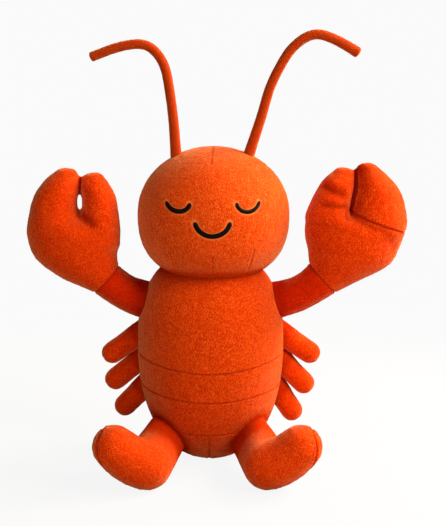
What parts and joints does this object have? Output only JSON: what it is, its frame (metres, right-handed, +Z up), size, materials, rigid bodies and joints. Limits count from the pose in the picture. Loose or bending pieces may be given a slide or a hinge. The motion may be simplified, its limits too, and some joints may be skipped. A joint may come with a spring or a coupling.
{
  "type": "plush crawfish",
  "caption": "Sitting plush crawfish with a round head, wired antennae, raised claws, small side legs, a banded torso and boot-shaped feet.",
  "frame": {"origin": "middle of the flat patch under the torso that the toy sits on", "axes": "+Z up, -Y out of the face, +X to the toy's own left"},
  "size_m": [0.3275, 0.1692, 0.3789],
  "materials": {
    "head_fabric": "short-pile orange plush, matt with a pale sheen at grazing angles",
    "torso_fabric": "short-pile orange plush, matt with a pale sheen at grazing angles",
    "claw_fabric": "short-pile red-orange plush, matt",
    "leg_fabric": "short-pile red-orange plush, matt",
    "foot_fabric": "short-pile orange plush, matt with a pale sheen at grazing angles",
    "antenna_fabric": "short-pile rust-orange plush tube, matt",
    "embroidery": "black satin-stitch thread with a soft gloss",
    "filling": "loose white polyester fibre",
    "antenna_wire": "soft drawn steel wire"
  },
  "bodies": {
    "root": {"head_front_panel": "head_fabric", "head_back_panel": "head_fabric", "torso_chest_panel": "torso_fabric", "torso_upper_band": "torso_fabric", "torso_lower_band": "torso_fabric", "torso_base_panel": "torso_fabric", "head_filling": "filling", "torso_filling": "filling", "right_eye": "embroidery", "left_eye": "embroidery", "mouth": "embroidery", "right_antenna_sleeve": "antenna_fabric", "right_antenna_wire": "antenna_wire", "right_arm": "claw_fabric", "right_arm_filling": "filling", "right_claw_palm": "claw_fabric", "right_claw_palm_filling": "filling", "right_claw_pincer": "claw_fabric", "right_claw_pincer_filling": "filling", "right_leg_1": "leg_fabric", "right_leg_1_filling": "filling", "right_leg_2": "leg_fabric", "right_leg_2_filling": "filling", "right_leg_3": "leg_fabric", "right_leg_3_filling": "filling", "right_foot_upper": "foot_fabric", "right_foot_sole": "foot_fabric", "right_foot_filling": "filling", "left_antenna_sleeve": "antenna_fabric", "left_antenna_wire": "antenna_wire", "left_arm": "claw_fabric", "left_arm_filling": "filling", "left_claw_palm": "claw_fabric", "left_claw_palm_filling": "filling", "left_claw_pincer": "claw_fabric", "left_claw_pincer_filling": "filling", "left_leg_1": "leg_fabric", "left_leg_1_filling": "filling", "left_leg_2": "leg_fabric", "left_leg_2_filling": "filling", "left_leg_3": "leg_fabric", "left_leg_3_filling": "filling", "left_foot_upper": "foot_fabric", "left_foot_sole": "foot_fabric", "left_foot_filling": "filling"}
  },
  "joints": []
}
